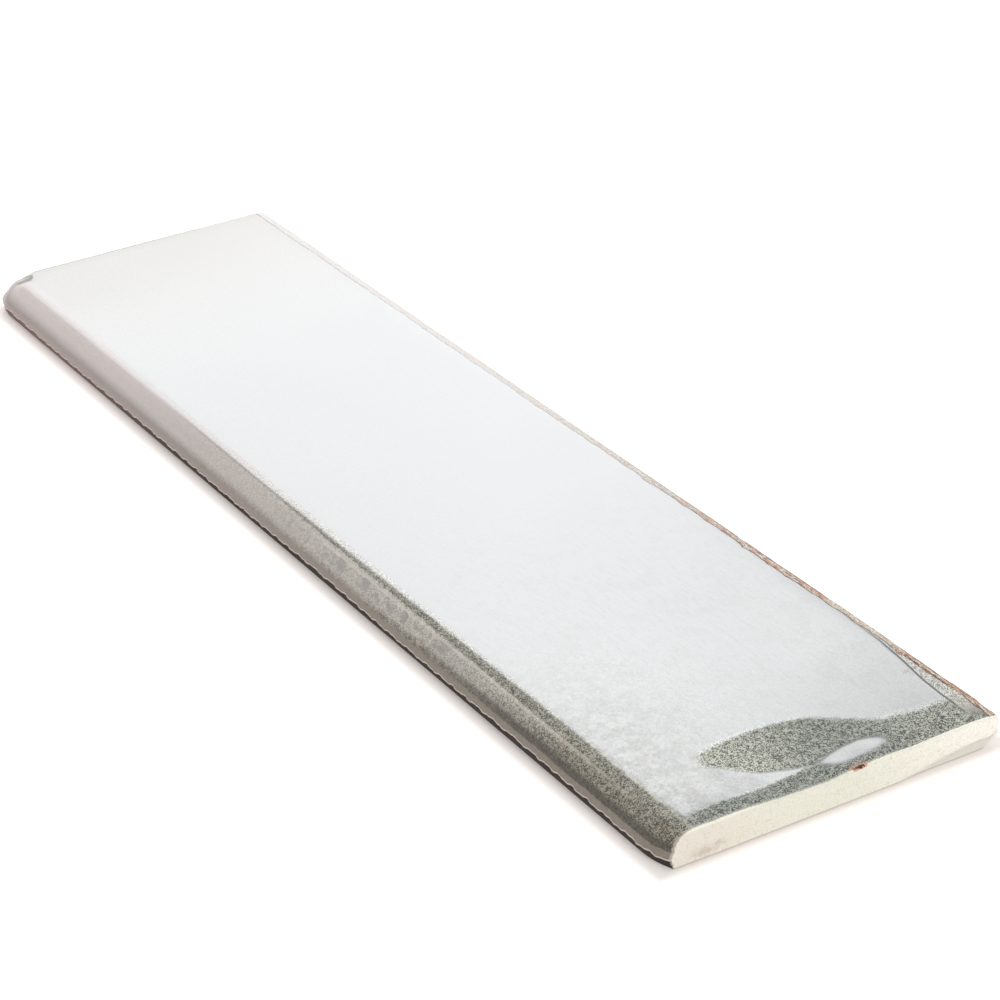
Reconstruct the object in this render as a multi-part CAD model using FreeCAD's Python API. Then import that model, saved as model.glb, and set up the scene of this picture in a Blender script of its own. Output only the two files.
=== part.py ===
import FreeCAD, Part
import os

# Bullnose wall tile, one fired and glazed piece, lying on its bed.
# Units are millimetres. +X runs along the length, +Y runs across the width to the
# square long edge, the rounded nose is the long edge on the -Y side, and +Z is up.
# The origin is the middle of the bed's level, so the floor is z = 0.

# Driving dimensions of the whole tile
length = 300.0
width = 75.0
thickness = 7.5

# Driving dimensions of the nose: the heel is the small slope under the round
heel_height = 1.0
heel_inset = 0.7

# Driving dimensions of the square edges and of the two ends
rim_radius = 1.3
end_radius = 0.9
back_bevel_width = 3.6
back_bevel_height = 2.5
end_bevel = 0.6

# The nose is a round as high as the tile, centred at bed level and cut off by the heel
nose_radius = thickness
nose_reach = (nose_radius ** 2 - heel_height ** 2) ** 0.5
half_length = length / 2.0
half_width = width / 2.0
tolerance = 1e-4


def point(y, z):
    """A point of the section on the far end's plane."""
    return FreeCAD.Vector(-half_length, y, z)


def round_over(start, centre, end):
    """A round about the centre from start to end, bulging away from the centre."""
    chord_middle = (start + end) * 0.5
    outwards = (chord_middle - centre).normalize()
    middle = centre + outwards * (start - centre).Length
    return Part.Arc(start, middle, end).toShape()


def section():
    """The tile's outline seen along its length, as one closed face."""
    nose_centre = point(-half_width + nose_reach, 0.0)
    rim_centre = point(half_width - rim_radius, thickness - rim_radius)

    heel_foot = point(-half_width + heel_inset, 0.0)
    nose_foot = point(-half_width, heel_height)
    nose_top = point(nose_centre.y, thickness)
    rim_top = point(rim_centre.y, thickness)
    rim_side = point(half_width, rim_centre.z)
    bevel_top = point(half_width, back_bevel_height)
    bevel_foot = point(half_width - back_bevel_width, 0.0)

    edges = [
        Part.makeLine(heel_foot, nose_foot),
        round_over(nose_foot, nose_centre, nose_top),
        Part.makeLine(nose_top, rim_top),
        round_over(rim_top, rim_centre, rim_side),
        Part.makeLine(rim_side, bevel_top),
        Part.makeLine(bevel_top, bevel_foot),
        Part.makeLine(bevel_foot, heel_foot),
    ]
    return Part.Face(Part.Wire(edges))


def is_on_an_end(edge):
    """True for an edge that lies whole in one of the two end planes."""
    xs = [vertex.Point.x for vertex in edge.Vertexes] + [edge.CenterOfMass.x]
    return all(abs(abs(x) - half_length) < tolerance for x in xs)


def is_on_the_bed(edge):
    """True for an edge that lies whole at floor level."""
    return edge.BoundBox.ZMax < tolerance


def is_above_the_bevels(edge):
    """True for an edge of the nose, the face, the rim or the square edge."""
    on_nose_side = edge.CenterOfMass.y < 0.0
    low = heel_height if on_nose_side else back_bevel_height
    return edge.BoundBox.ZMin > low - tolerance


def tile():
    """The section carried along the length, with its ends eased above and below."""
    stock = section().extrude(FreeCAD.Vector(length, 0.0, 0.0))
    bed_edges = [e for e in stock.Edges if is_on_an_end(e) and is_on_the_bed(e)]
    stock = stock.makeChamfer(end_bevel, bed_edges)
    upper_edges = [e for e in stock.Edges if is_on_an_end(e) and is_above_the_bevels(e)]
    return stock.makeFillet(end_radius, upper_edges)


bullnose_tile = tile()
box = bullnose_tile.BoundBox
print("solids", len(bullnose_tile.Solids), "valid", bullnose_tile.isValid())
print("box", box.XMin, box.XMax, box.YMin, box.YMax, box.ZMin, box.ZMax)
print("volume in cubic centimetres", bullnose_tile.Volume / 1000.0)

os.makedirs("parts", exist_ok=True)
bullnose_tile.exportStep("parts/bullnose_tile.step")
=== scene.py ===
# %% [markdown]
# # A bullnose wall tile in grey-green crackle glaze
#
# The real object is one slab of pressed clay, 300 mm long and as thick as a finger is wide.
# One long edge was rounded over before glazing, so that a tiled wall can stop there. The face,
# the nose and the square long edge carry a dark grey-green glaze that runs in gentle waves.
# Both ends and the bed are bare, cream-white clay.
#
# The slab comes from the CAD frame as a clean solid. Here it gets the surface of a handmade
# tile: one closed skin, worked out as whole arrays, stands for the CAD solid and stays inside
# its box.

# %% Load the frame and measure the tile
import math
import bpy
import numpy as np
from mathutils import Matrix, Vector


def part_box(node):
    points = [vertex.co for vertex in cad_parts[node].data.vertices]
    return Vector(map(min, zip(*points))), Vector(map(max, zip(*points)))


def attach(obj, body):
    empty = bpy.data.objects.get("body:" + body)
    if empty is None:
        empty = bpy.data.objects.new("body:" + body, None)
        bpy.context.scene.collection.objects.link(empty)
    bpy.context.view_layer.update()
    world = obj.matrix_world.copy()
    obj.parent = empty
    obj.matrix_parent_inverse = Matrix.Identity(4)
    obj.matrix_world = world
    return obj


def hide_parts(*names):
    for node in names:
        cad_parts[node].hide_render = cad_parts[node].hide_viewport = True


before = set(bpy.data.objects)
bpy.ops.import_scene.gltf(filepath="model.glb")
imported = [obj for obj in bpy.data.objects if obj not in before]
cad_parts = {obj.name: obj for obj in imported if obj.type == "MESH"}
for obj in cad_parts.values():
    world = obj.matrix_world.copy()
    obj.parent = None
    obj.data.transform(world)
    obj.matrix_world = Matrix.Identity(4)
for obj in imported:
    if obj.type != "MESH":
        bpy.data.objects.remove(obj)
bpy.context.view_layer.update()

MM = 0.001
tile_low, tile_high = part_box("bullnose_tile")
LENGTH, WIDTH, THICK = (np.array(tile_high - tile_low) / MM).tolist()
HALF_LENGTH = LENGTH / 2.0
HALF_WIDTH = WIDTH / 2.0
print("tile in millimetres", round(LENGTH, 2), round(WIDTH, 2), round(THICK, 2))

# %% [markdown]
# ## The camera
#
# A photograph fixes its camera: the tile's four straight edges meet in two vanishing points,
# and those give the direction of view, the roll and the focal length. The values below were
# solved from the edges, in the frame's own millimetres. A long lens from 0.7 m away keeps the
# slab's perspective mild, as product photographs do.

# %% Set the camera
PHOTO_SIDE = 1000.0
FOCAL_IN_PIXELS = 3228.3
SENSOR = 36.0
AZIMUTH = math.radians(60.683)
ELEVATION = math.radians(27.677)
ROLL = math.radians(-3.091)
AIM = Vector((11.10, 11.77, 0.0)) * MM
DISTANCE = 696.6 * MM
NEAREST, FARTHEST = 0.05, 20.0

back = Vector((
    math.sin(AZIMUTH) * math.cos(ELEVATION),
    -math.cos(AZIMUTH) * math.cos(ELEVATION),
    math.sin(ELEVATION),
))
level_right = Vector((math.cos(AZIMUTH), math.sin(AZIMUTH), 0.0))
level_up = back.cross(level_right)
right = math.cos(ROLL) * level_right + math.sin(ROLL) * level_up
up = math.cos(ROLL) * level_up - math.sin(ROLL) * level_right

camera_data = bpy.data.cameras.new("camera")
camera_data.sensor_width = SENSOR
camera_data.lens = FOCAL_IN_PIXELS / PHOTO_SIDE * SENSOR
camera_data.clip_start, camera_data.clip_end = NEAREST, FARTHEST
camera = bpy.data.objects.new("camera", camera_data)
bpy.context.scene.collection.objects.link(camera)
turn = Matrix((right, up, back)).transposed().to_4x4()
camera.matrix_world = Matrix.Translation(AIM + back * DISTANCE) @ turn
bpy.context.scene.camera = camera
bpy.context.scene.view_settings.view_transform = "Standard"
print("lens in millimetres", round(camera_data.lens, 1))

# %% [markdown]
# ## Node helpers
#
# A material is a graph. Two small helpers keep the graphs readable: one adds a node, sets its
# values and links what feeds it, and the other does one step of arithmetic.

# %% Helpers for node graphs
def add_node(tree, kind, settings=None, inputs=None):
    """Adds one node. Settings are its properties. Inputs go by name or number, and each takes a
    value or is fed by another node's output."""
    node = tree.nodes.new(kind)
    for name, value in (settings or {}).items():
        setattr(node, name, value)
    for name, value in (inputs or {}).items():
        if isinstance(value, bpy.types.NodeSocket):
            tree.links.new(value, node.inputs[name])
        else:
            node.inputs[name].default_value = value
    return node


def maths(tree, operation, *operands):
    """The result of one arithmetic node; each operand is an output or a number."""
    inputs = dict(enumerate(operands))
    return add_node(tree, "ShaderNodeMath", {"operation": operation}, inputs).outputs[0]


# %% [markdown]
# ## Light
#
# Plain white surroundings light the tile, so that each colour renders about as it is written.
# The camera, mirrors and glass see them at full white. On rough surfaces they shine at half, so
# that the panels below can add the rest without burning the colours out.

# %% Surroundings
AMBIENT = 0.50
WHITE = (1.0, 1.0, 1.0, 1.0)

world = bpy.data.worlds.new("studio")
bpy.context.scene.world = world
world.use_nodes = True
sky = world.node_tree
sky.nodes.clear()


def seen_by_eye_or_mirror(tree):
    """1 for rays from the camera, off a gloss or through glass, and 0 for the rest."""
    rays = add_node(tree, "ShaderNodeLightPath").outputs
    seen = maths(tree, "MAXIMUM", rays["Is Camera Ray"], rays["Is Glossy Ray"])
    return maths(tree, "MAXIMUM", seen, rays["Is Transmission Ray"])


sky_level = add_node(sky, "ShaderNodeMapRange", inputs={
    "Value": seen_by_eye_or_mirror(sky), "To Min": AMBIENT, "To Max": 1.0,
})
sky_light = add_node(sky, "ShaderNodeBackground", inputs={
    "Color": WHITE, "Strength": sky_level.outputs[0],
})
add_node(sky, "ShaderNodeOutputWorld", inputs={"Surface": sky_light.outputs[0]})
print("surroundings shine at", AMBIENT, "on rough surfaces")

# %% [markdown]
# ## Soft panels
#
# A glossy tile also needs something to mirror. Seen at a low angle its face mirrors the wall
# behind it, so a large soft panel stands there, to the right. Glaze mirrors more light the lower
# one looks along it, so the panel is dimmer near its foot, which the far end mirrors, and the
# face stays evenly pale. Its top edge fades out just above the near end's mirror image, and each
# dip of the glaze there leaves the panel and shows the dark glaze itself.
#
# The rounded nose mirrors a whole sweep of the wall. A weaker panel further left gives it its
# pale sheen. High up the two panels stand apart, and the gap between them shows as a dark band
# under the crease. A large dim panel in front lights the bare end.
#
# A photographer shades such a light with cloth. Here the lamp's own graph does it: a row of
# stops gives its level along one coordinate, and several such levels are multiplied.

# %% Helpers for graded panels
WALL_X = -800.0


def slanted(tree, main, other, start, slant):
    """A coordinate plus 'slant' times the length by which the other one passes 'start'."""
    past = maths(tree, "MAXIMUM", maths(tree, "SUBTRACT", other, start * MM), 0.0)
    return maths(tree, "MULTIPLY_ADD", past, slant, main)


def graded(tree, coordinate, stops):
    """A level along one coordinate, through stops of a place in millimetres and a level."""
    low, high = stops[0][0], stops[-1][0]
    share = add_node(tree, "ShaderNodeMapRange", inputs={
        "Value": coordinate, "From Min": low * MM, "From Max": high * MM,
    })
    curve = add_node(tree, "ShaderNodeValToRGB", {"label": "level"}, {"Fac": share.outputs[0]})
    places = curve.color_ramp.elements
    places[0].position, places[1].position = 0.0, 1.0
    for where, _ in stops[1:-1]:
        places.new((where - low) / (high - low))
    for place, (_, level) in zip(places, stops):
        place.color = (level, level, level, 1.0)
    return curve.outputs["Color"]


def soft_panel(name, centre, facing, width, height, radiance, tint, shades=()):
    """A rectangular soft light that looks along 'facing'. Its power is four times its area times
    the brightness that a mirror would show. Each shade grades it along Y or Z: the axis, where
    the other axis starts to slant it and by how much, and the stops. Lengths are millimetres."""
    data = bpy.data.lights.new(name, "AREA")
    data.shape = "RECTANGLE"
    data.size = width * MM
    data.size_y = height * MM
    data.energy = 4.0 * radiance * data.size * data.size_y
    data.color = tint
    data.use_nodes = True
    tree = data.node_tree
    emission = next(node for node in tree.nodes if node.type == "EMISSION")
    position = add_node(tree, "ShaderNodeNewGeometry").outputs["Position"]
    axes = add_node(tree, "ShaderNodeSeparateXYZ", inputs={0: position}).outputs
    level = None
    for axis, start, slant, stops in shades:
        other = axes["Z" if axis == "Y" else "Y"]
        shade = graded(tree, slanted(tree, axes[axis], other, start, slant), stops)
        level = shade if level is None else maths(tree, "MULTIPLY", level, shade)
    if level is not None:
        tree.links.new(level, emission.inputs["Strength"])
    lamp = bpy.data.objects.new(name, data)
    lamp.visible_camera = False
    aim = Vector(facing).to_track_quat("-Z", "Y").to_matrix().to_4x4()
    lamp.matrix_world = Matrix.Translation(Vector(centre) * MM) @ aim
    bpy.context.scene.collection.objects.link(lamp)
    return lamp


def wall_panel(name, behind, left, right, foot, top, radiance, tint, shades):
    """A soft panel on the wall behind the far end. Where two of them overlap, one has to stand a
    little behind the other, because a mirrored ray meets only one of two lamps in one plane."""
    centre = (WALL_X - behind, (left + right) / 2.0, (foot + top) / 2.0)
    toward_tile = (1.0, 0.0, 0.0)
    return soft_panel(name, centre, toward_tile, right - left, top - foot, radiance, tint, shades)


# %% [markdown]
# ## The panels' places and shades
#
# The stops follow the brightness that the face and the nose show along the tile, carried over to
# the place on the wall that each part mirrors.

# %% Place the panels
COOL = (0.98, 0.985, 1.0)
WARM = (1.0, 0.95, 0.925)
NEUTRAL = (1.0, 1.0, 1.0)
FACE_ACROSS = [
    (-25.0, 0.0), (30.0, 0.60), (52.0, 0.76), (85.0, 0.84), (190.0, 0.81), (300.0, 0.80),
    (470.0, 0.80), (545.0, 0.75), (600.0, 0.70), (660.0, 0.62), (780.0, 0.42), (940.0, 0.38),
]
FACE_UP = [
    (200.0, 0.36), (303.0, 0.56), (338.0, 0.67), (359.0, 0.71), (392.0, 0.735), (468.0, 0.82),
    (572.0, 0.92), (617.0, 0.96), (665.0, 0.97), (704.0, 0.96), (735.0, 0.92), (764.0, 0.86),
    (789.0, 0.72), (822.0, 0.36), (880.0, 0.0),
]
NOSE_RIGHT = [(-760.0, 1.0), (-5.0, 1.0), (52.0, 0.0)]
NOSE_LEFT = [(-770.0, 0.0), (-670.0, 1.0), (40.0, 1.0)]
NOSE_UP = [(20.0, 0.10), (130.0, 0.45), (200.0, 0.70), (300.0, 1.0), (815.0, 1.0), (870.0, 0.0)]

wall_panel(
    "face_panel", behind=0.0, left=-40.0, right=940.0, foot=200.0, top=900.0,
    radiance=6.1, tint=COOL,
    shades=[("Y", 590.0, -1.4, FACE_ACROSS), ("Z", 450.0, 0.22, FACE_UP)],
)
wall_panel(
    "nose_panel", behind=2.0, left=-770.0, right=40.0, foot=20.0, top=870.0,
    radiance=2.5, tint=WARM,
    shades=[("Y", 480.0, 0.71, NOSE_RIGHT), ("Y", 420.0, -0.85, NOSE_LEFT),
            ("Z", 0.0, 0.0, NOSE_UP)],
)
soft_panel(
    "front_panel", centre=(900.0, -150.0, 520.0), facing=(-0.80, 0.16, -0.52),
    width=700.0, height=700.0, radiance=2.6, tint=NEUTRAL,
)

# %% [markdown]
# ## The floor
#
# The tile lies on a white sheet. A few millimetres away from the tile the sheet glows a little
# for the camera, for mirrors and for glass, so that it reads as pure white. Close to the tile the
# glow fades, so that the narrow shadow under the nose stays. The paper is slightly warm, which
# shows only where the shadow dims it.

# %% White floor that keeps the shadow
FLOOR_REACH = 4.0
FLOOR_DROP = 0.05 * MM
FLOOR_COLOUR = (0.88, 0.835, 0.805, 1.0)
GLOW_NEAR, GLOW_AWAY = 0.05, 0.40
GLOW_SIDE, GLOW_END = (0.3, 3.8), (0.0, 3.0)

floor_mesh = bpy.data.meshes.new("floor")
floor_corners = [(-1, -1), (1, -1), (1, 1), (-1, 1)]
floor_mesh.from_pydata(
    [(x * FLOOR_REACH, y * FLOOR_REACH, -FLOOR_DROP) for x, y in floor_corners], [], [(0, 1, 2, 3)]
)
floor = bpy.data.objects.new("floor", floor_mesh)
bpy.context.scene.collection.objects.link(floor)

floor_material = bpy.data.materials.new("white_sheet")
floor_material.use_nodes = True
sheet = floor_material.node_tree
sheet.nodes.clear()

sheet_place = add_node(sheet, "ShaderNodeTexCoord").outputs["Object"]
sheet_size = add_node(sheet, "ShaderNodeVectorMath", {"operation": "ABSOLUTE"}, {0: sheet_place})
sheet_axes = add_node(sheet, "ShaderNodeSeparateXYZ", inputs={0: sheet_size.outputs[0]}).outputs
sheet_levels = []
for axis, half, (start, full) in (("Y", HALF_WIDTH, GLOW_SIDE), ("X", HALF_LENGTH, GLOW_END)):
    level = add_node(sheet, "ShaderNodeMapRange", {"interpolation_type": "SMOOTHSTEP"}, {
        "Value": maths(sheet, "SUBTRACT", sheet_axes[axis], half * MM),
        "From Min": start * MM, "From Max": full * MM, "To Min": GLOW_NEAR, "To Max": GLOW_AWAY,
    })
    sheet_levels.append(level.outputs[0])
sheet_level = maths(sheet, "MAXIMUM", *sheet_levels)
sheet_glow = maths(sheet, "MULTIPLY", sheet_level, seen_by_eye_or_mirror(sheet))
sheet_paper = add_node(sheet, "ShaderNodeBsdfDiffuse", inputs={"Color": FLOOR_COLOUR})
sheet_light = add_node(sheet, "ShaderNodeEmission", inputs={
    "Color": WHITE, "Strength": sheet_glow,
})
sheet_sum = add_node(sheet, "ShaderNodeAddShader", inputs={
    0: sheet_paper.outputs[0], 1: sheet_light.outputs[0],
})
add_node(sheet, "ShaderNodeOutputMaterial", inputs={"Surface": sheet_sum.outputs[0]})
floor_mesh.materials.append(floor_material)
print("floor reaches", FLOOR_REACH, "m each way")

# %% [markdown]
# ## The tile's section
#
# Cut across, the tile is a long flat bar: a heel, the round of the nose, the face, the rim,
# the square edge, a slope under it, and the bed. The section is a loop of points that goes once
# round the bar.
#
# A profile carried along a path suits this better than a box with bevels, because every point
# of the loop keeps its own place from end to end, and the glaze's waves can follow it.

# %% Stations along the length and places round the section
HEEL_HEIGHT = 1.0
HEEL_INSET = 0.7
RIM_RADIUS = 1.3
END_DEPTH = 0.9
BACK_WIDTH = 3.6
BACK_HEIGHT = 2.5

FAR_STEP, MIDDLE_STEP, NEAR_STEP = 0.6, 0.8, 0.4
FAR_ZONE, NEAR_ZONE = 8.0, 34.0
HEEL_COUNT, NOSE_COUNT, FACE_COUNT, MARGIN_COUNT, RIM_COUNT = 4, 34, 88, 26, 12
SIDE_COUNT, BACK_COUNT, BED_COUNT = 6, 6, 18
MARGIN = 6.5
NOSE_REACH = math.sqrt(THICK ** 2 - HEEL_HEIGHT ** 2)


def stations():
    """Places along the length between the two eased ends: short steps at the ends, where the
    glaze rolls over, and wide ones between."""
    first = -HALF_LENGTH + END_DEPTH
    last = HALF_LENGTH - END_DEPTH
    far = np.arange(first, first + FAR_ZONE, FAR_STEP)
    middle = np.arange(first + FAR_ZONE, last - NEAR_ZONE, MIDDLE_STEP)
    near_count = int(round(NEAR_ZONE / NEAR_STEP)) + 1
    near = np.linspace(last - NEAR_ZONE, last, near_count)
    return np.concatenate([far, middle, near])


def run(start, end, count):
    """count even places from start up to, but not including, end."""
    return np.linspace(start, end, count, endpoint=False)


def section():
    """The loop round the tile: heel, nose, face, its margin, rim, square edge, slope, bed. The
    nose is a part of a round about a point at bed level, the rim is a quarter circle, and the
    rest is straight. Returns a row of y and a row of z."""
    start = math.asin(HEEL_HEIGHT / THICK)
    angle = start + (math.pi / 2.0 - start) * run(0.0, 1.0, NOSE_COUNT)
    crease_y = -HALF_WIDTH + NOSE_REACH
    rim_y = HALF_WIDTH - RIM_RADIUS
    rim_z = THICK - RIM_RADIUS
    fall = run(0.0, math.pi / 2.0, RIM_COUNT)
    slope = run(0.0, 1.0, BACK_COUNT)
    heel = run(0.0, 1.0, HEEL_COUNT)
    parts = [
        (-HALF_WIDTH + HEEL_INSET * (1.0 - heel), HEEL_HEIGHT * heel),
        (crease_y - THICK * np.cos(angle), THICK * np.sin(angle)),
        (run(crease_y, rim_y - MARGIN, FACE_COUNT), THICK),
        (run(rim_y - MARGIN, rim_y, MARGIN_COUNT), THICK),
        (rim_y + RIM_RADIUS * np.sin(fall), rim_z + RIM_RADIUS * np.cos(fall)),
        (HALF_WIDTH, run(rim_z, BACK_HEIGHT, SIDE_COUNT)),
        (HALF_WIDTH - BACK_WIDTH * slope, BACK_HEIGHT * (1.0 - slope)),
        (run(HALF_WIDTH - BACK_WIDTH, -HALF_WIDTH + HEEL_INSET, BED_COUNT), 0.0),
    ]
    return np.hstack([np.broadcast_arrays(*part) for part in parts])


x_places = stations()
x_grid, loop_y, loop_z = np.broadcast_arrays(x_places[:, None], *section())
print("stations and points round the section", loop_y.shape)

# %% [markdown]
# ## Slow waves
#
# Handmade glaze is never flat: it swells and sinks a little over a finger's width, which bends
# what the face mirrors. A sum of sines with seeded directions and lengths gives such waves, and
# as a formula over the whole grid it needs no point moved by hand. All the relief goes inwards,
# so the skin never leaves the CAD solid's box, and it fades out near the flat bed.

# %% Slow waves
WAVE_COUNT = 12
WAVE_SEED = 11
WAVE_SHORTEST, WAVE_LONGEST = 26.0, 110.0
WAVE_SLOPE = 0.0014


def outward(y, z):
    """Unit normals of the loop, from the chord between each point's two neighbours, turned a
    quarter to the left of the way the loop goes."""
    step_y = np.roll(y, -1, axis=1) - np.roll(y, 1, axis=1)
    step_z = np.roll(z, -1, axis=1) - np.roll(z, 1, axis=1)
    size = np.hypot(step_y, step_z)
    return -step_z / size, step_y / size


def loop_length(y, z):
    """Distance round the section from the heel's foot to each point of the loop."""
    steps = np.hypot(np.diff(y, axis=1), np.diff(z, axis=1))
    return np.hstack([np.zeros((y.shape[0], 1)), np.cumsum(steps, axis=1)])


def smooth_step(value, low, high):
    """Rises from 0 at low to 1 at high along three times the square less twice the cube; it
    falls instead where high is below low."""
    t = np.clip((value - low) / (high - low), 0.0, 1.0)
    return t * t * (3.0 - 2.0 * t)


def sine_sum(u, v, count, seed, shortest, longest, slope):
    """A sum of sines over two coordinates, never below zero. Each wave has a seeded direction
    and phase, its length lies between the shortest and the longest, and its height is its length
    times one common slope over a full turn."""
    rng = np.random.default_rng(seed)
    angle = rng.uniform(0.0, math.pi, count)
    phase = rng.uniform(0.0, 2.0 * math.pi, count)
    length = np.geomspace(shortest, longest, count)
    height = length * slope / (2.0 * math.pi)
    along = u[..., None] * np.cos(angle) + v[..., None] * np.sin(angle)
    waves = height * (1.0 + np.sin(2.0 * math.pi * along / length + phase))
    return waves.sum(axis=-1)


normal_y, normal_z = outward(loop_y, loop_z)
round_section = loop_length(loop_y, loop_z)
above_bed = smooth_step(loop_z, 0.2, 2.2)
waves = sine_sum(
    x_grid, round_section, WAVE_COUNT, WAVE_SEED, WAVE_SHORTEST, WAVE_LONGEST, WAVE_SLOPE
)
depth = (waves - waves.min()) * above_bed
print("deepest wave in millimetres", round(float(depth.max()), 2))

# %% [markdown]
# ## The pool at the near end
#
# Near its end the glaze sank in a shallow leaf-shaped pool, rose again and rolled off over the
# edge. One sees it where the mirror image breaks off, and that depends on tilt. So the pool is
# given by its slope, between a far and a near line across the tile, and the depth is that slope
# added up along X. A mask tells the finish where the glaze lies thick.

# %% The pool at the near end
POOL_SLOPE = 0.068
POOL_EASING = 0.022
RISE_SLOPE = 0.016
ROLL_SLOPE = 0.11
FOLD = 0.60
NEVER, BESIDE = 160.0, 143.0
GRAIN_LEAD, MORE_LEAD = 1.8, 1.0
POOL_LINES = np.array([
    (18.0, 134.5, 134.5), (20.0, 131.4, 134.8), (22.0, 130.2, 136.6), (26.0, 129.7, 140.8),
    (32.0, 129.4, 143.2), (37.0, 129.7, 144.3), (43.0, 131.0, 142.4), (48.0, 134.8, 142.2),
    (52.0, 138.0, 143.8), (54.0, 139.8, 151.0), (62.0, 141.6, 151.0), (67.0, 141.6, 151.0),
    (75.0, 141.8, 151.0),
])
ROLL_LINE = np.array([
    (0.0, 148.4), (6.0, 147.2), (10.0, 145.6), (18.0, 145.5), (27.0, 145.0), (34.6, 144.2),
    (36.4, 143.4), (38.5, 146.2), (41.0, 146.9), (45.0, 147.1), (49.0, 146.8), (53.0, 145.0),
    (75.0, 145.0),
])
SMOOTHINGS = 5


def pool_slope(x, y):
    """Slope along X of the near end's pool and roll-off, and a mask of the pool. The pool lies
    between a far and a near line that are given every few millimetres across; two short sines
    fray the far line beside the nose. Inside it the glaze sinks, behind it it rises a little, and
    from the roll's line on it turns down."""
    across = y + HALF_WIDTH
    ragged = 0.35 * np.sin(across / 0.7) + 0.25 * np.sin(across / 0.31 + 1.0)
    ragged = ragged * smooth_step(across, 30.0, 20.0)
    places, far_line, near_line = POOL_LINES.T
    far = np.interp(across, places, far_line, left=NEVER, right=BESIDE) + ragged
    near = np.interp(across, places, near_line, left=NEVER)
    roll = np.interp(across, *ROLL_LINE.T)
    past_near = smooth_step(x, near - FOLD, near + FOLD)
    left_behind = past_near * smooth_step(across, 17.0, 26.0)
    rolling = smooth_step(x, roll - FOLD, roll + 2.5)
    inside = smooth_step(x, far - FOLD, far + FOLD) * (1.0 - past_near)
    sinking = POOL_SLOPE * (1.0 - POOL_EASING * (x - 130.0)) * inside
    rising = RISE_SLOPE * left_behind * (1.0 - smooth_step(x, roll - FOLD, roll + FOLD))
    lead = GRAIN_LEAD + MORE_LEAD * smooth_step(across, 46.0, 56.0)
    grainy = smooth_step(x, far - lead, far + 0.5) * (1.0 - past_near)
    thick = np.maximum(grainy, smooth_step(x, roll - 0.5, roll + 0.7))
    return sinking - rising + ROLL_SLOPE * rolling, thick


def added_along(x, slope):
    """Depth from a slope, added up along the length from the far end on."""
    added = 0.5 * (slope[1:] + slope[:-1]) * np.diff(x, axis=0)
    return np.vstack([np.zeros((1, x.shape[1])), np.cumsum(added, axis=0)])


def smoothed_across(grid):
    """Averages neighbours round the section, a quarter, a half and a quarter, several times."""
    for _ in range(SMOOTHINGS):
        grid = 0.5 * grid + 0.25 * (np.roll(grid, 1, axis=1) + np.roll(grid, -1, axis=1))
    return grid


on_face = smooth_step(loop_z, THICK - 1.5, THICK - 0.3)
slope_x, thick_glaze = pool_slope(x_grid, loop_y)
pool = smoothed_across(added_along(x_grid, slope_x))
print("deepest place of the near end in millimetres", round(float((pool * on_face).max()), 2))

# %% [markdown]
# ## Rim and groove
#
# The smooth glaze ends a millimetre before the square edge in a ragged line of little tongues.
# Towards the near end a fine groove runs beside it, where the glaze stopped flowing. Both depths
# follow from the distance across to a wandering line.

# %% Rim and groove
GROOVE_PLACES = np.array([-150.0, 60.0, 116.6, 126.0, 133.4, 138.5, 141.9, 150.0])
GROOVE_GAPS = np.array([2.0, 2.1, 2.8, 3.9, 4.9, 5.3, 5.4, 5.6])
GROOVE_WIDTH, GROOVE_DEPTH = 0.30, 0.02
RAGGED_SEED = 3
FAR_REACH, FAR_FALL = 4.0, 0.008
RIM_REACH, RIM_FALL = 4.5, 0.006
STEP_DEPTH = 0.09
BEYOND_SLOPE = 0.030


def groove_offset(x, y):
    """Signed distance from the groove beside the square edge, positive towards the edge. Its
    gap to the edge goes through given places and wanders by three short sines."""
    wander = 0.18 * np.sin(x / 9.0) + 0.12 * np.sin(x / 4.3 + 1.0) + 0.07 * np.sin(x / 1.9 + 2.0)
    gap = np.interp(x, GROOVE_PLACES, GROOVE_GAPS) + 0.5 * wander
    return y - (HALF_WIDTH - gap)


def ragged_line(x):
    """How far in from the rim's start the smooth glaze ends, in millimetres: a slow seeded
    wandering and sharp little tongues, the power of a sum of sines."""
    slow = sine_sum(x, 0.0 * x, 6, RAGGED_SEED, 9.0, 60.0, 0.06)
    tongues = sine_sum(x, 0.0 * x, 7, RAGGED_SEED + 1, 1.3, 6.0, 0.9)
    tongues = (tongues / tongues.max()) ** 3
    base = 0.95 - 0.28 * smooth_step(x, 98.0, 116.0)
    return base + 0.5 * slow / slow.max() + 0.7 * tongues * smooth_step(x, -150.0, 60.0)


def edge_depth(x, y, line):
    """Depth near the far end and the square edge: a parabola over the last millimetres before
    each, a step down where the smooth glaze ends, a slope beyond the groove and the groove itself
    as a bell-shaped dip."""
    far_gap = np.clip(FAR_REACH - (x + HALF_LENGTH), 0.0, FAR_REACH)
    rim_gap = np.clip(y - (HALF_WIDTH - RIM_RADIUS - RIM_REACH), 0.0, RIM_REACH)
    beyond = y - (HALF_WIDTH - RIM_RADIUS - line)
    step = STEP_DEPTH * smooth_step(beyond, -0.15, 0.15)
    near = smooth_step(x, 96.0, 124.0)
    groove = GROOVE_DEPTH * np.exp(-(groove_offset(x, y) / GROOVE_WIDTH) ** 2)
    slope = BEYOND_SLOPE * np.clip(groove_offset(x, y), 0.0, 6.0)
    return FAR_FALL * far_gap ** 2 + RIM_FALL * rim_gap ** 2 + step + near * (groove + slope)


past_rim = round_section - round_section[:, [HEEL_COUNT + NOSE_COUNT + FACE_COUNT + MARGIN_COUNT]]
smooth_end = ragged_line(x_grid)
depth += (pool + edge_depth(x_grid, loop_y, smooth_end)) * on_face
print("deepest place with rim and groove", round(float(depth.max()), 2))

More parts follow.
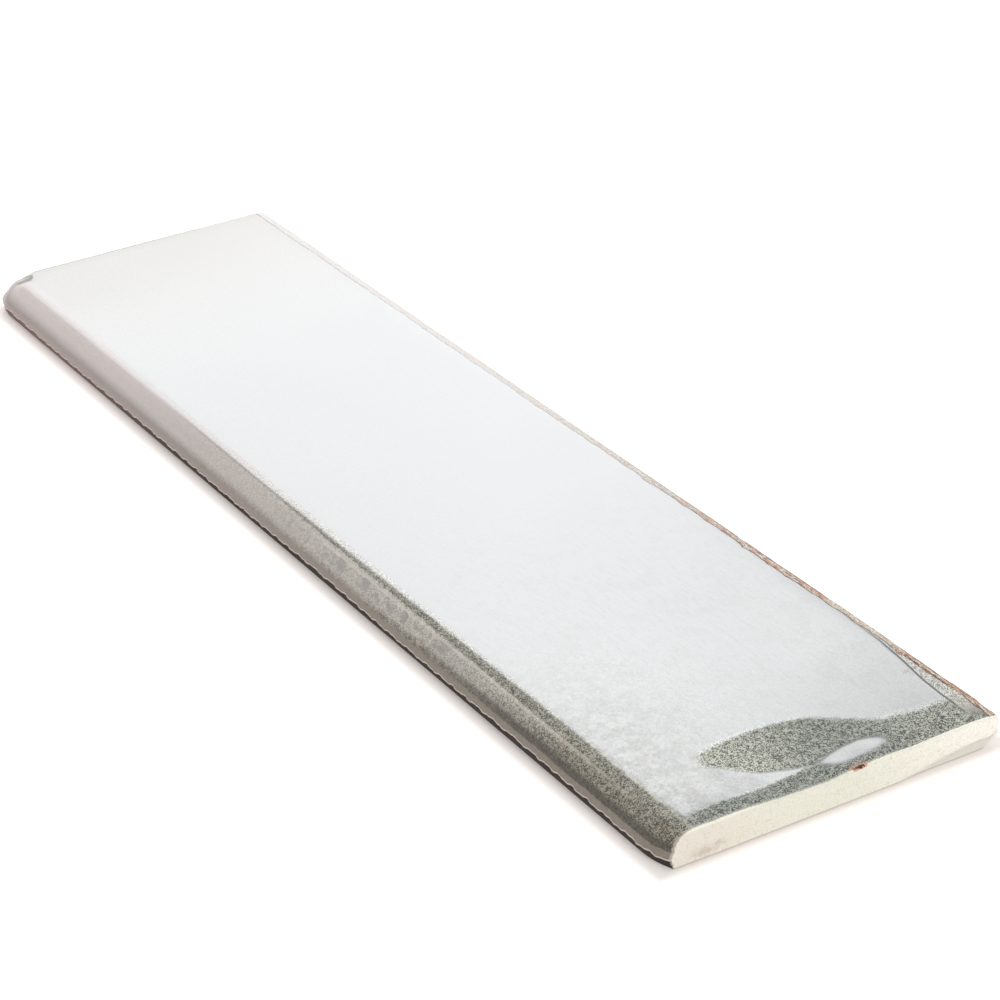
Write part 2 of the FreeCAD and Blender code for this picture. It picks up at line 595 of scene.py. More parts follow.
# %% [markdown]
# ## Flakes and chips
#
# Handling flaked the glaze off the rim and chipped the near edge once. Each bite has the floor of
# a parabola. Seeded places and sizes make the wear look accidental, and a power of the random
# number crowds it towards the near end.

# %% Flakes and chips
CHIP_SEED = 5
CHIP_COUNT = 40
CHIP_SPAN, CHIP_CROWDING = 290.0, 1.5
CHIP_SMALLEST, CHIP_LARGEST = 0.9, 3.2
FLAKE_DEPTH = 0.26
BITE_ACROSS, BITE_DEPTH = 42.6, 0.30


def chip_depth(x, y, z):
    """Depth of the flakes and chips on the rim: bites with a parabola's floor at seeded places
    along the square edge, closer together towards the near end, and one on the near edge."""
    rng = np.random.default_rng(CHIP_SEED)
    places = HALF_LENGTH - CHIP_SPAN * rng.uniform(0.0, 1.0, CHIP_COUNT) ** CHIP_CROWDING
    sizes = rng.uniform(CHIP_SMALLEST, CHIP_LARGEST, CHIP_COUNT)
    heights = rng.uniform(THICK - RIM_RADIUS, THICK, CHIP_COUNT)
    depth = np.zeros_like(x)
    for place, size, height in zip(places, sizes, heights):
        away = ((x - place) / size) ** 2 + ((y - HALF_WIDTH) / 1.0) ** 2 + ((z - height) / 0.8) ** 2
        depth = np.maximum(depth, FLAKE_DEPTH * np.clip(1.0 - away, 0.0, 1.0))
    away = ((x - HALF_LENGTH) / 1.1) ** 2 + ((y + HALF_WIDTH - BITE_ACROSS) / 1.3) ** 2
    return np.maximum(depth, BITE_DEPTH * np.clip(1.0 - away, 0.0, 1.0) * (z > THICK - 2.5))


chips = chip_depth(x_grid, loop_y, loop_z)
print("points inside a flake or chip", int((chips > 0.0).sum()))

# %% [markdown]
# ## Corners and foot
#
# The nose's two corners stick out, so they were rubbed rounder than the rest, and at the far one
# the top sank too. Along the foot the glaze ends in a wavy bead, and the bare clay below lies a
# little deeper. The rubbing moves points straight back across, which keeps the nose's height.

# %% Corners and foot
NEAR_CORNER, FAR_CORNER = 8.0, 6.0
NEAR_RUB, FAR_RUB = 1.8, 1.2
SINK_REACH, SINK = 7.0, 0.028
FOOT_LINE = 1.88
FOOT_WEAR, FOOT_SINK = 0.20, 0.20


def far_corner(x, y, z):
    """Depth at the far end's nose corner: a parabola along the length, full above mid height."""
    gap = np.clip(SINK_REACH - (x + HALF_LENGTH), 0.0, SINK_REACH)
    shoulder = smooth_step(y, -HALF_WIDTH + 11.5, -HALF_WIDTH + 6.0) * smooth_step(z, 2.0, 6.0)
    return SINK * gap ** 2 * shoulder


def rubbed_back(x, y, z):
    """How far the nose is rubbed back across at its two corners and along its foot: a parabola
    towards each end, full on the lower half and little at the crease."""
    lower = 1.0 - 0.85 * smooth_step(z, 2.5, THICK + 0.3)
    near = np.clip((x - HALF_LENGTH + NEAR_CORNER) / NEAR_CORNER, 0.0, 1.0)
    far = np.clip((-HALF_LENGTH + FAR_CORNER - x) / FAR_CORNER, 0.0, 1.0)
    foot = FOOT_WEAR * (y < -HALF_WIDTH + 1.5) * smooth_step(z, 1.5, 1.0)
    far_size = FAR_RUB * lower + smooth_step(z, 2.6, 1.4)
    rubbed = NEAR_RUB * lower * near ** 2 + far_size * far ** 2 + foot
    return (y < -HALF_WIDTH + NOSE_REACH + 0.01) * rubbed


def foot_height(x):
    """Height of the wavy line on the nose where the glaze ends in a bead: short scallops."""
    scallops = 0.14 * np.sin(x / 0.9 + 2.0 * np.sin(x / 6.1)) + 0.09 * np.sin(x / 0.41)
    return FOOT_LINE + scallops + 0.12 * np.sin(x / 13.0)


def foot_depth(x, y, z):
    """The bare foot lies a little deeper than the bead above it."""
    on_foot = (y < -HALF_WIDTH + 2.0) * smooth_step(z, 0.0, 0.4)
    line = foot_height(x)
    return FOOT_SINK * on_foot * smooth_step(z, line + 0.12, line - 0.12)


depth += (chips + far_corner(x_grid, loop_y, loop_z)) * above_bed
depth += foot_depth(x_grid, loop_y, loop_z)
depth = np.maximum(depth, 0.0)
skin_y = loop_y - normal_y * depth + rubbed_back(x_grid, loop_y, loop_z)
skin_z = np.maximum(loop_z - normal_z * depth, 0.0)
print("deepest relief in millimetres", round(float(depth.max()), 2))

# %% [markdown]
# ## The ends
#
# Each end is eased all round: the last loop draws in towards the section's middle line, along a
# quarter of an oval, very little under the face, where glaze and clay meet in a crisp edge, and
# more at the nose, the square edge and the bed. Rings that go on towards the middle line close
# the end, and one flat face fills the slit that is left. Rings let the bare clay have lumps of
# its own, and a strip along the bottom right of the near end is broken away and lies deeper.

# %% Ease and close the ends
EASE_COUNT = 6
EASE_FACE, EASE_BED, EASE_NOSE, EASE_SQUARE = 0.20, 0.42, 1.80, 1.10
RING_SHARES = np.array([0.04, 0.09, 0.15, 0.22, 0.30, 0.38, 0.47, 0.56, 0.66, 0.76, 0.86])
CLAY_HOLLOW = 0.10
LUMP_COUNT, LUMP_SEED = 9, 21
LUMP_SHORTEST, LUMP_LONGEST, LUMP_SLOPE = 2.2, 11.0, 0.035
BREAK_START, BREAK_FULL, BREAK_TOP = 50.0, 58.0, 71.0
BREAK_LOW, BREAK_RISE, BREAK_DEPTH = 0.2, 2.3, 0.5


def middle_line(y, z):
    """The place on the section's middle line that each point of a loop draws in towards."""
    inner = HALF_WIDTH - 0.6 * THICK
    return np.clip(y, -inner, inner), 0.5 * (z.max() + z.min()) + 0.0 * z


def eased_end(y, z, side):
    """Loops from the last station to the end plane: along X by the sine, inwards by a radius
    times one less the cosine. The radius goes with the square of each normal's parts."""
    angle = np.linspace(0.0, math.pi / 2.0, EASE_COUNT + 1)[1:, None]
    ny, nz = outward(y[None, :], z[None, :])
    flat = np.where(nz > 0.0, EASE_FACE, EASE_BED)
    upright = np.where(ny < 0.0, EASE_NOSE, EASE_SQUARE)
    inwards = smoothed_across(flat * nz ** 2 + upright * ny ** 2) * (1.0 - np.cos(angle))
    middle_y, middle_z = middle_line(y, z)
    away = np.hypot(middle_y - y, middle_z - z)
    ring_x = side * (HALF_LENGTH - END_DEPTH + END_DEPTH * np.sin(angle)) + 0.0 * y[None, :]
    return ring_x, y + (middle_y - y) * inwards / away, z + (middle_z - z) * inwards / away


def end_face(y, z, side):
    """Rings from the eased edge towards the section's middle line, a share of the way each. The
    clay's lumps are a sum of short sines that fades at the edge and at the middle line."""
    middle_y, middle_z = middle_line(y, z)
    share = RING_SHARES[:, None]
    ring_y = y + (middle_y - y) * share
    ring_z = z + (middle_z - z) * share
    fade = smooth_step(share, 0.0, 0.2) * smooth_step(share, 0.86, 0.6)
    lumps = sine_sum(
        ring_y, ring_z, LUMP_COUNT, LUMP_SEED, LUMP_SHORTEST, LUMP_LONGEST, LUMP_SLOPE
    )
    hollow = CLAY_HOLLOW * (fade * (lumps / lumps.max() - 0.5) + 0.5 * smooth_step(share, 0.0, 0.1))
    return side * (HALF_LENGTH - hollow), ring_y, ring_z


def broken_strip(y, z):
    """Mask of the strip that is broken away at the near end: below a scalloped line that climbs
    towards the square edge."""
    across = y + HALF_WIDTH
    climb = BREAK_RISE * smooth_step(across, BREAK_START, BREAK_TOP)
    line = BREAK_LOW + climb + 0.12 * np.sin(across / 0.55)
    return smooth_step(across, BREAK_START, BREAK_FULL) * smooth_step(z, line + 0.2, line - 0.2)


far_edge = eased_end(skin_y[0], skin_z[0], -1.0)
far_face = end_face(far_edge[1][-1], far_edge[2][-1], -1.0)
near_edge = eased_end(skin_y[-1], skin_z[-1], 1.0)
near_face = end_face(near_edge[1][-1], near_edge[2][-1], 1.0)
pieces_in_order = [
    [part[::-1] for part in far_face],
    [part[::-1] for part in far_edge],
    [x_grid, skin_y, skin_z],
    list(near_edge),
    list(near_face),
]
tile_x, tile_y, tile_z = (
    np.vstack([piece[axis] for piece in pieces_in_order]) for axis in range(3)
)
broken = broken_strip(tile_y, tile_z) * (tile_x > x_places[-1])
tile_x = tile_x - BREAK_DEPTH * broken * (tile_x - x_places[-1])
print("loops in all", tile_x.shape[0])

# %% [markdown]
# ## The mesh
#
# A grid of loops becomes faces by simple counting: point j of loop i joins point j + 1 and the
# same two of loop i + 1, and the last point of a loop joins its first. Two flat faces close the
# slits at the ends. The volume comes out positive only if the faces look outwards.
#
# Seven numbers ride along on every point, for the finish: how far the nose has turned down, how
# thick the glaze lies, how far the groove, the rim's start and the ragged line are, how high the
# point is above the glaze's foot, and where the clay is broken.

# %% Build the skin
def grid_faces(rows, columns):
    """Four-cornered faces of a grid that is closed round its columns."""
    i = np.arange(rows - 1)[:, None] * columns
    j = np.arange(columns)[None, :]
    k = (j + 1) % columns
    return np.stack([i + j, i + columns + j, i + columns + k, i + k], axis=-1).reshape(-1, 4)


def signed_volume(points, quads):
    """Sum over the faces of the column under each: the mean height times the area seen from
    above, which is positive for a face that looks up. The upright ends add nothing."""
    corners = points[quads]
    across = corners[:, 2] - corners[:, 0]
    other = corners[:, 3] - corners[:, 1]
    area = 0.5 * (across[:, 0] * other[:, 1] - across[:, 1] * other[:, 0])
    return float((area * corners[:, :, 2].mean(axis=1)).sum())


def with_ends(grid):
    """A value per point of the middle grid, carried on unchanged over both ends."""
    before = len(far_edge[0]) + len(far_face[0])
    after = len(near_edge[0]) + len(near_face[0])
    return np.pad(grid, ((before, after), (0, 0)), mode="edge")


rows, columns = tile_x.shape
points = np.stack([tile_x, tile_y, tile_z], axis=-1).reshape(-1, 3) * MM
quads = grid_faces(rows, columns)
first_loop = list(range(columns))
last_loop = list(range((rows - 1) * columns, rows * columns))
end_caps = [first_loop, last_loop[::-1]]
tile_mesh = bpy.data.meshes.new("glazed_tile")
tile_mesh.from_pydata(points.tolist(), [], quads.tolist() + end_caps)
tile_mesh.shade_smooth()

turned = np.clip(np.arctan2(-normal_y, normal_z) / (math.pi / 2.0), 0.0, 1.2)
notes = {
    "turned": with_ends(turned * (loop_y < -HALF_WIDTH + 10.0)),
    "thick": with_ends(thick_glaze * on_face),
    "groove": with_ends(groove_offset(x_grid, loop_y)),
    "past_rim": with_ends(past_rim),
    "rough_rim": with_ends(past_rim + smooth_end),
    "above_foot": with_ends(loop_z - foot_height(x_grid)),
    "broken": broken,
}
for name, grid in notes.items():
    note = tile_mesh.attributes.new(name, "FLOAT", "POINT")
    note.data.foreach_set("value", grid.ravel().astype(np.float32))

tile = bpy.data.objects.new("glazed_tile", tile_mesh)
bpy.context.scene.collection.objects.link(tile)
print("volume in cubic centimetres", round(signed_volume(points, quads) * 1e6, 1))
print("triangles", 2 * len(quads) + 2 * (columns - 2))

# %% [markdown]
# ## Glaze and clay
#
# The finish is one material, because on the real tile glaze and clay are one surface that
# changes where the glaze stops. Each colour below lies over the ones before it, and a share
# between 0 and 1 says where. A share is a coordinate, a number on the points or a noise, put
# through a smooth step, and shares are multiplied where several have to hold.

# %% Finish: coordinates and small tools
finish = bpy.data.materials.new("crackle_glaze_on_clay")
finish.use_nodes = True
tree = finish.node_tree
tree.nodes.clear()

in_metres = add_node(tree, "ShaderNodeTexCoord").outputs["Object"]
in_mm = add_node(tree, "ShaderNodeVectorMath", {"operation": "SCALE"}, {
    0: in_metres, "Scale": 1.0 / MM,
}).outputs[0]
X, Y, Z = add_node(tree, "ShaderNodeSeparateXYZ", inputs={0: in_mm}).outputs


def times(first, *more):
    """Product of shares and numbers."""
    for share in more:
        first = maths(tree, "MULTIPLY", first, share)
    return first


def either(first, second):
    """The larger of two shares."""
    return maths(tree, "MAXIMUM", first, second)


def shaken(value, shake, amount):
    """A value moved up and down by a noise, by half the amount each way."""
    return maths(tree, "MULTIPLY_ADD", maths(tree, "SUBTRACT", shake, 0.5), amount, value)


def ramp(value, low, high, start=0.0, end=1.0):
    """Maps low..high to start..end with a smooth step, and holds the ends."""
    return add_node(tree, "ShaderNodeMapRange", {"interpolation_type": "SMOOTHSTEP"}, {
        "Value": value, "From Min": low, "From Max": high, "To Min": start, "To Max": end,
    }).outputs[0]


def band(value, low, high, soft):
    """1 between low and high, fading over 'soft' outside each."""
    return times(ramp(value, low - soft, low), ramp(value, high + soft, high))


def blend(share, first, second):
    """Mixes two colours, each a socket or three numbers; share 0 is the first."""
    first, second = (c + (1.0,) if isinstance(c, tuple) else c for c in (first, second))
    inputs = {"Factor": share, 6: first, 7: second}
    return add_node(tree, "ShaderNodeMix", {"data_type": "RGBA"}, inputs).outputs[2]


def layered(colour, *layers):
    """Lays colours over one another. Each layer is its share and its colour."""
    for share, over in layers:
        colour = blend(share, colour, over)
    return colour


def spot(centre, squeeze, shake, amount):
    """Distance from a place in millimetres, each axis first divided by 'squeeze', shaken."""
    place = in_mm
    for operation, value in (("SUBTRACT", centre), ("DIVIDE", squeeze)):
        inputs = {0: place, 1: value}
        place = add_node(tree, "ShaderNodeVectorMath", {"operation": operation}, inputs).outputs[0]
    length = add_node(tree, "ShaderNodeVectorMath", {"operation": "LENGTH"}, {0: place})
    return shaken(length.outputs["Value"], shake, amount)


# %% [markdown]
# ## Grains, clouds and dashes
#
# Fired glaze has a pattern at every size: grains a third of a millimetre across, patches and
# slow clouds. Each is one noise in the tile's own millimetres. Flakes, dashes and streaks are
# drawn out along X, the way the rim wears and the glaze ran.

# %% Finish: noises and the numbers on the points
def noise(size, detail=2.0, roughness=0.5, distortion=0.0, stretch=(1.0, 1.0, 1.0)):
    """Cloudy noise, 0 to 1, with features about 'size' millimetres across, each axis first
    multiplied by 'stretch'."""
    mapping = add_node(tree, "ShaderNodeMapping", inputs={"Vector": in_mm, "Scale": stretch})
    return add_node(tree, "ShaderNodeTexNoise", inputs={
        "Vector": mapping.outputs[0], "Scale": 1.0 / size, "Detail": detail,
        "Roughness": roughness, "Distortion": distortion,
    }).outputs["Fac"]


fine = noise(0.27, detail=1.0)
grain = noise(0.9, detail=3.0, roughness=0.6, distortion=0.4)
cloud = noise(6.0, detail=4.0, roughness=0.55)
patch = noise(2.6, detail=4.0, roughness=0.6, distortion=0.5)
flake = noise(1.5, detail=3.0, roughness=0.7, stretch=(0.55, 1.6, 1.6))
dash = noise(0.8, detail=2.0, roughness=0.7, stretch=(0.42, 1.5, 1.5))
streak = noise(1.1, detail=3.0, roughness=0.6, stretch=(0.30, 1.3, 1.3))
turned_down, thick, groove, past_rim, rough_rim, above_foot, broken_strip_shade = (
    add_node(tree, "ShaderNodeAttribute", {"attribute_name": name}).outputs["Fac"]
    for name in notes
)
print("numbers read from the points", list(notes))

# %% [markdown]
# ## Where the clay is bare
#
# The ends, the bed and the slope under the square edge were kept free of glaze. On the nose the
# glaze stops above the foot in a wavy line, with a pinkish bead, the lip. Below the lip the foot
# is painted near black, a painted shadow under the nose. Each zone is a share of its own, and a
# little noise in it frays its border, as on fired clay.

# %% Finish: where the clay is bare
end_gap = maths(tree, "SUBTRACT", HALF_LENGTH, maths(tree, "ABSOLUTE", X))
worn_arris = maths(tree, "SUBTRACT", end_gap, ramp(Y, 6.0, 32.0, 0.0, 0.45))
bare_end = ramp(shaken(worn_arris, grain, 0.50), 0.34, 0.24)
square_side = ramp(Y, 0.0, 1.0)
nose_side = ramp(Y, 0.0, -1.0)
bare_side = times(square_side, ramp(shaken(Z, flake, 0.9), 2.45, 2.30))
bare_bed = ramp(Z, 0.14, 0.06)
bare = either(bare_end, either(bare_side, bare_bed))
glazed_end = ramp(end_gap, 0.2, 0.7)
# Painted shadow under the nose: below the glaze's wavy line the foot is painted near black.
foot = times(nose_side, ramp(above_foot, 0.05, -0.05), glazed_end, ramp(Z, 0.06, 0.14))
lip = times(nose_side, band(above_foot, 0.04, 0.26, 0.08), glazed_end)
print("nodes so far", len(tree.nodes))

# %% [markdown]
# ## The face
#
# The face is a milky grey-green, cloudier towards the near end. Where the glaze lies thick, in
# the pool and along the near edge, it is full of dark and pale grains; the pale ones are partly
# painted glints, paler still in two zones. Two noises added up and cut by a steep step give
# them, because one alone would look too even.

# %% Finish: glaze on the face
FACE_FAR = (0.212, 0.204, 0.182)
FACE_SMOOTH = (0.19, 0.202, 0.2)
FACE_CLOUD = (0.12, 0.13, 0.12)
FACE_DARK = (0.045, 0.052, 0.042)
FACE_MIDDLING = (0.4, 0.42, 0.365)
FACE_PALE_AND_GLINT = (0.66, 0.665, 0.55)
FACE_MOTTLE = (0.02, 0.025, 0.02)

speckle = ramp(maths(tree, "MULTIPLY_ADD", fine, 0.62, times(grain, 0.38)), 0.43, 0.58)
left_near = times(ramp(Y, 0.0, -30.0), ramp(X, 70.0, 132.0))
sparse_grain = maths(tree, "MULTIPLY_ADD", left_near, 0.15, ramp(X, 60.0, 140.0, 0.02, 0.10))
face_grain = either(thick, sparse_grain)
# Where the pale grains are paler still, as painted glints.
pale_grains_and_glints = times(ramp(Y, 8.0, -14.0), ramp(X, 146.0, 140.0))
pale_grains_and_glints = either(pale_grains_and_glints, ramp(Y, 12.0, 24.0, 0.0, 0.45))
face_near = ramp(X, 10.0, 120.0)
face_colour = layered(
    FACE_FAR,
    (ramp(X, -150.0, -60.0), FACE_SMOOTH),
    (times(face_near, ramp(cloud, 0.44, 0.70, 0.0, 0.40)), FACE_CLOUD),
    (times(face_near, ramp(streak, 0.50, 0.66, 0.0, 0.35)), FACE_CLOUD),
    (times(left_near, ramp(patch, 0.40, 0.56, 0.15, 1.0)), FACE_MOTTLE),
    (face_grain, blend(speckle, FACE_DARK, blend(pale_grains_and_glints, FACE_MIDDLING, FACE_PALE_AND_GLINT))),
)
print("nodes so far", len(tree.nodes))

# %% [markdown]
# ## The nose
#
# On the nose the glaze turns to a dusty mauve brown, grainier towards the near end, and paler
# towards the far end, partly as a painted sheen. The number that says how far the nose has
# turned down lays it in bands along the tile: a grey one under the crease, a thin pale seam, and
# low down a smooth one with a dark stripe above it, where the glaze ran thin; the low band is
# painted lighter, partly as a painted reflection of the floor. Near the near end a pale dotted
# line along the crease is a painted glint. A grey-green patch over the far corner is painted
# shade of the rounded corner, where the nose turns down early.

# %% Finish: glaze on the nose
# The far nose colour is paler partly as a painted sheen, the broad pale light it mirrors.
NOSE_FAR_AND_SHEEN = (0.24, 0.197, 0.192)
NOSE_MIDDLE = (0.195, 0.163, 0.146)
NOSE_NEAR = (0.15, 0.131, 0.108)
NOSE_DARK = (0.035, 0.03, 0.02)
NOSE_PALE = (0.345, 0.315, 0.24)
# The pale band colour also paints the glint along the crease.
BAND_PALE_AND_GLINT = (0.43, 0.41, 0.335)
LOW_FAR_AND_REFLECTION = (0.29, 0.238, 0.215)
LOW_NEAR_AND_REFLECTION = (0.195, 0.165, 0.13)
STRIPE_DARK = (0.04, 0.03, 0.018)
CORNER_PAINTED_SHADE = (0.3, 0.31, 0.27)

on_nose = ramp(turned_down, 0.03, 0.08)
blotch_zone = times(band(X, 15.0, 60.0, 25.0), band(turned_down, 0.36, 0.50, 0.10))
blotch = times(ramp(patch, 0.51, 0.58), blotch_zone)
top_edge = shaken(turned_down, patch, 0.06)
top_band = times(ramp(top_edge, 0.285, 0.265), ramp(X, -35.0, 35.0))
# A pale dotted line along the crease towards the near end is a painted glint.
crease_turn = times(ramp(turned_down, 0.01, 0.04), ramp(turned_down, 0.13, 0.08))
crease = times(crease_turn, ramp(X, 100.0, 130.0), ramp(grain, 0.46, 0.54, 0.2, 0.9))
seam = times(band(top_edge, 0.30, 0.335, 0.02), band(X, 20.0, 118.0, 20.0))
low_edge = shaken(turned_down, cloud, 0.05)
stripe = times(ramp(low_edge, 0.50, 0.60), ramp(low_edge, 0.71, 0.68), ramp(X, 50.0, 105.0))
# A grey-green patch over the far corner: painted shade of the rounded corner, where it turns down.
far_corner_painted_shade = ramp(spot((-149.3, -30.2, THICK), (3.2, 2.8, 3.5), patch, 1.0), 1.1, 0.7)
nose_colour = layered(
    NOSE_FAR_AND_SHEEN,
    (ramp(X, -110.0, 5.0), NOSE_MIDDLE),
    (ramp(X, 5.0, 75.0), NOSE_NEAR),
    (ramp(streak, 0.42, 0.68, 0.0, 0.30), NOSE_NEAR),
    (ramp(X, -80.0, 75.0, 0.05, 0.94), blend(speckle, NOSE_DARK, NOSE_PALE)),
    (times(blotch, 0.75), NOSE_DARK),
    (times(top_band, 0.75), blend(speckle, FACE_DARK, BAND_PALE_AND_GLINT)),
    (crease, BAND_PALE_AND_GLINT),
    (times(seam, 0.35), BAND_PALE_AND_GLINT),
    # The low band is painted lighter, partly as a painted reflection of the floor below it.
    (times(ramp(low_edge, 0.66, 0.72), 0.85), blend(ramp(X, -110.0, 90.0), LOW_FAR_AND_REFLECTION, LOW_NEAR_AND_REFLECTION)),
    (times(stripe, 0.78), STRIPE_DARK),
)
print("nodes so far", len(tree.nodes))

# %% [markdown]
# ## Groove and thin glaze
#
# Beyond the groove the glaze is thin and speckled. The groove is drawn dark as a painted shade of
# its dip and, further below, rough. At the very edge of the near end the pale clay shines
# through.

# %% Finish: groove and thin glaze at the near end
THIN_GLAZE = (0.56, 0.545, 0.45)
GROOVE_PAINTED_SHADE = (0.035, 0.042, 0.034)
MARGIN_PALE = (0.64, 0.615, 0.52)

near_margin = times(ramp(groove, 0.0, 0.5), band(X, 124.0, 142.0, 8.0), square_side)
margin_colour = blend(ramp(speckle, 0.35, 0.65, 0.0, 0.92), MARGIN_PALE, FACE_DARK)
# Painted shade in the groove's dip: a thin dark line.
groove_line = times(band(groove, -0.18, 0.20, 0.10), ramp(X, 98.0, 122.0), ramp(X, 147.0, 142.0))
thin_end = times(ramp(shaken(end_gap, grain, 1.2), 0.90, 0.40), ramp(X, 0.0, 1.0))
glaze_colour = layered(
    face_colour,
    (on_nose, nose_colour),
    (times(far_corner_painted_shade, 0.80), CORNER_PAINTED_SHADE),
    (times(near_margin, 0.85), margin_colour),
    (groove_line, GROOVE_PAINTED_SHADE),
    (times(thin_end, 0.60), THIN_GLAZE),
)
print("nodes so far", len(tree.nodes))

# %% [markdown]
# ## Rust on the rim
#
# Beyond the ragged line the rim's glaze is worn off and the pale body is stained. Olive specks,
# salmon flakes and red-brown dashes get denser towards the near end, and thin dark lines follow
# the ragged line and the edge. One rust spot lies on the face, and one chip on the near edge.

# %% Finish: rust on the rim, a rust spot and a chip
RIM_FAR = (0.74, 0.73, 0.715)
RIM_MIDDLE = (0.72, 0.69, 0.65)
RIM_NEAR = (0.74, 0.68, 0.58)
RIM_LILAC = (0.48, 0.44, 0.45)
RUST_SALMON = (0.56, 0.26, 0.15)
RUST_RED = (0.2, 0.055, 0.025)
RUST_OLIVE = (0.15, 0.115, 0.065)
RUST_DARK = (0.03, 0.012, 0.007)
SPOT_BROWN = (0.13, 0.045, 0.03)

rim_zone = times(ramp(rough_rim, -0.06, 0.06), square_side)
upper = ramp(past_rim, 1.6, 3.2, 1.0, 0.30)
paler = maths(tree, "MULTIPLY_ADD", band(X, 100.0, 119.0, 5.0), -0.70, 1.0)
rusty = times(ramp(X, 15.0, 95.0, 0.10, 0.85), paler)
inner_line = band(shaken(rough_rim, grain, 0.25), 0.04, 0.26, 0.08)
inner_share = times(inner_line, ramp(flake, 0.66, 0.52), ramp(X, -60.0, 50.0, 0.15, 0.90))
outer_lines = times(ramp(dash, 0.47, 0.52), band(past_rim, 0.10, 0.55, 0.12), rusty)
rim_colour = layered(
    RIM_FAR,
    (ramp(X, -110.0, 15.0), RIM_MIDDLE),
    (ramp(X, 15.0, 95.0), RIM_NEAR),
    (times(ramp(speckle, 0.55, 0.25), ramp(X, -60.0, 80.0, 0.10, 0.62)), RUST_OLIVE),
    (times(ramp(flake, 0.50, 0.57), upper, rusty), RUST_SALMON),
    (times(ramp(dash, 0.48, 0.43), upper, rusty), RUST_RED),
    (inner_share, blend(ramp(X, -10.0, 75.0), RIM_LILAC, RUST_DARK)),
    (times(outer_lines, 0.92), blend(ramp(grain, 0.44, 0.56), RUST_DARK, RUST_RED)),
)
rust_spot = ramp(spot((128.8, 31.9, THICK), (1.4, 1.1, 3.0), grain, 2.4), 1.0, 0.6)
glaze_colour = layered(
    glaze_colour,
    (rim_zone, rim_colour),
    (times(rust_spot, ramp(dash, 0.46, 0.54)), SPOT_BROWN),
)
chip_away = spot((149.8, 5.4, THICK - 0.75), (1.0, 1.9, 0.60), grain, 2.6)
chip_rust = ramp(chip_away, 1.15, 0.85)
chip_core = ramp(chip_away, 0.50, 0.30)
print("nodes so far", len(tree.nodes))

# %% [markdown]
# ## Clay, lip and foot
#
# The clay is cream-white and finely pitted, pinker at the nose and paler towards the square
# edge. The stains and a painted shade along the ends' bottom edge are one colour in several
# shares, and the broken strip at the near end is painted grey as shade. Clay, lip, foot and chip
# then go over the glaze, each where its own zone lies; the near-black foot is a painted shadow.

# %% Finish: clay, lip and foot
CLAY_LEFT = (0.77, 0.725, 0.64)
CLAY_MIDDLE = (0.795, 0.79, 0.685)
CLAY_RIGHT = (0.93, 0.91, 0.82)
CLAY_STAIN_AND_SHADE = (0.52, 0.43, 0.37)
BROKEN_PAINTED_SHADE = (0.62, 0.61, 0.545)
CLAY_EDGE = (0.92, 0.9, 0.77)
LIP_PINK = (0.64, 0.54, 0.49)
# The foot's two colours are painted shadow under the nose, less dark at the far end.
FOOT_PAINTED_SHADOW = (0.012, 0.005, 0.003)
FOOT_FAR_PAINTED_SHADOW = (0.17, 0.11, 0.1)

stain_place = (HALF_LENGTH, -HALF_WIDTH + 9.5, 1.9)
nose_stain = ramp(spot(stain_place, (2.0, 4.0, 1.4), grain, 1.6), 1.2, 0.4)
top_rim = times(ramp(Z, THICK - 1.1, THICK - 0.5), bare_end, ramp(X, 0.0, 1.0))
# Painted shade along the bottom edge of both ends, where the rounded arris turns from the light.
bottom_painted_shade = times(ramp(shaken(Z, grain, 0.3), 0.50, 0.25), bare_end)
clay_colour = layered(
    CLAY_LEFT,
    (ramp(Y, -36.0, -5.0), CLAY_MIDDLE),
    (ramp(Y, 0.0, 34.0), CLAY_RIGHT),
    (ramp(fine, 0.50, 0.30, 0.0, 0.34), CLAY_STAIN_AND_SHADE),
    (ramp(grain, 0.56, 0.74, 0.0, 0.35), CLAY_STAIN_AND_SHADE),
    (times(nose_stain, ramp(patch, 0.40, 0.60, 0.15, 0.65)), CLAY_STAIN_AND_SHADE),
    (times(top_rim, 0.75), CLAY_EDGE),
    # The broken strip is painted grey, a painted shade of the recessed break.
    (times(broken_strip_shade, 0.80), BROKEN_PAINTED_SHADE),
    # The stain colour here paints the shade along the bottom edge.
    (times(bottom_painted_shade, 0.45), CLAY_STAIN_AND_SHADE),
)
surface_colour = layered(
    glaze_colour,
    (bare, clay_colour),
    (times(lip, 0.95), LIP_PINK),
    (foot, blend(ramp(X, -130.0, -20.0), FOOT_FAR_PAINTED_SHADOW, FOOT_PAINTED_SHADOW)),
    (times(chip_rust, 0.8), RUST_SALMON),
    (chip_core, RUST_DARK),
)
print("nodes so far", len(tree.nodes))

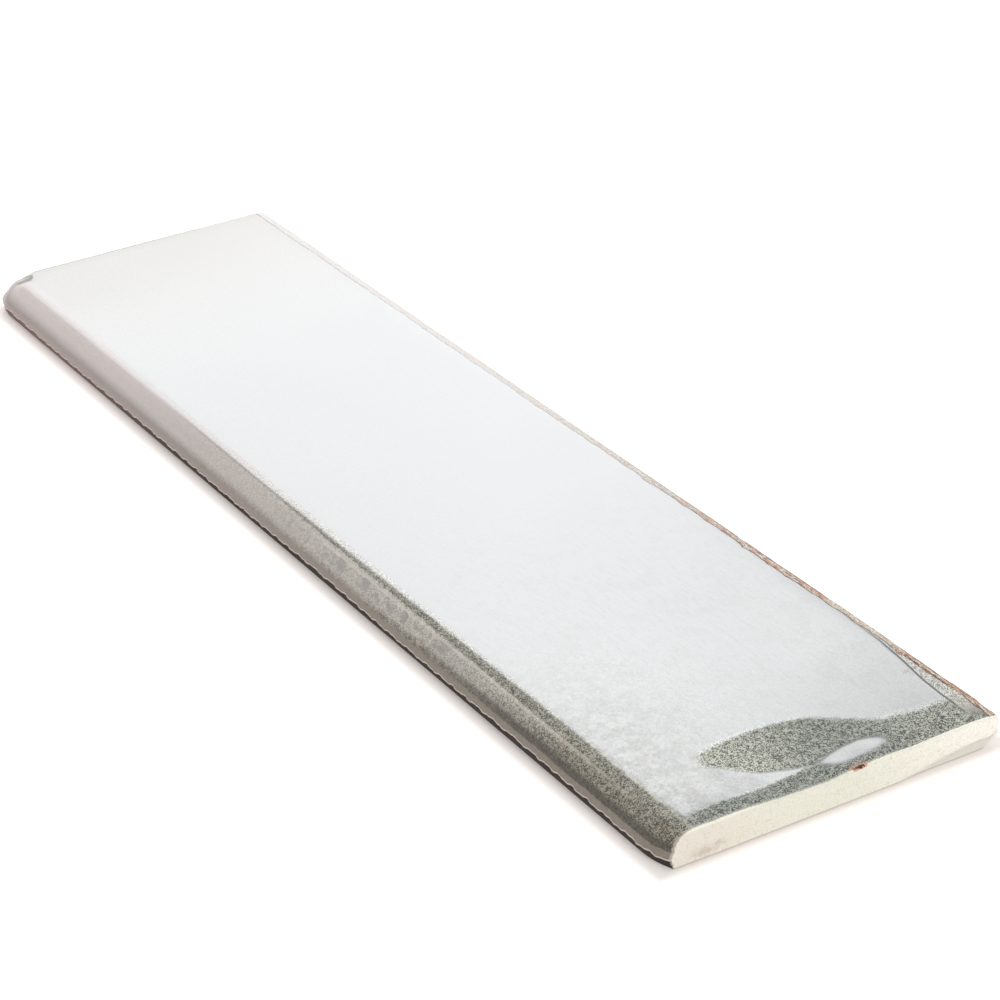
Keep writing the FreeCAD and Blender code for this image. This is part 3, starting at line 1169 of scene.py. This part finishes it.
# %% [markdown]
# ## Gloss and fine relief
#
# Glaze is as smooth as glass, the rim is rubbed and the clay is matt, so the roughness follows
# the same shares as the colours. Relief too small for the mesh, such as orange peel, grains and
# the clay's pits, is a bump, which bends the light and leaves the surface alone.

# %% Finish: gloss and fine relief
GLAZE_ROUGHNESS, CLAY_ROUGHNESS = 0.06, 0.85
GLAZE_IOR = 1.55
PEEL_HEIGHT, GRAIN_HEIGHT, FLAKE_HEIGHT, PIT_HEIGHT = 0.006, 0.015, 0.10, 0.06

rough_glaze = maths(tree, "MULTIPLY_ADD", either(thick, on_nose), 0.05, GLAZE_ROUGHNESS)
for share, rougher in ((near_margin, 0.30), (groove_line, 0.40), (rim_zone, 0.60)):
    rough_glaze = maths(tree, "MULTIPLY_ADD", share, rougher, rough_glaze)
matt = either(either(bare, lip), either(foot, chip_rust))
roughness = add_node(tree, "ShaderNodeMix", {"data_type": "FLOAT"}, {
    "Factor": matt, 2: rough_glaze, 3: CLAY_ROUGHNESS,
})

peel = times(noise(2.4, detail=2.0), PEEL_HEIGHT)
grainy = either(face_grain, times(on_nose, 0.4))
grain_relief = times(maths(tree, "MULTIPLY_ADD", grainy, GRAIN_HEIGHT, 0.001), grain)
flake_relief = times(rim_zone, flake, FLAKE_HEIGHT)
pit_relief = times(fine, bare, PIT_HEIGHT)
soft_relief = maths(tree, "ADD", peel, grain_relief)
height = maths(tree, "ADD", soft_relief, maths(tree, "ADD", flake_relief, pit_relief))
relief = add_node(tree, "ShaderNodeBump", inputs={
    "Strength": 1.0, "Distance": MM, "Height": height,
})

shader = add_node(tree, "ShaderNodeBsdfPrincipled", inputs={
    "Base Color": surface_colour, "Roughness": roughness.outputs[0], "IOR": GLAZE_IOR,
    "Normal": relief.outputs[0],
})
add_node(tree, "ShaderNodeOutputMaterial", inputs={"Surface": shader.outputs[0]})
tile_mesh.materials.append(finish)
print("nodes in the finish", len(tree.nodes))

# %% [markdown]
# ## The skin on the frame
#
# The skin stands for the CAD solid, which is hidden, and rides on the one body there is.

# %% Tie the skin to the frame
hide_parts("bullnose_tile")
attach(tile, "root")
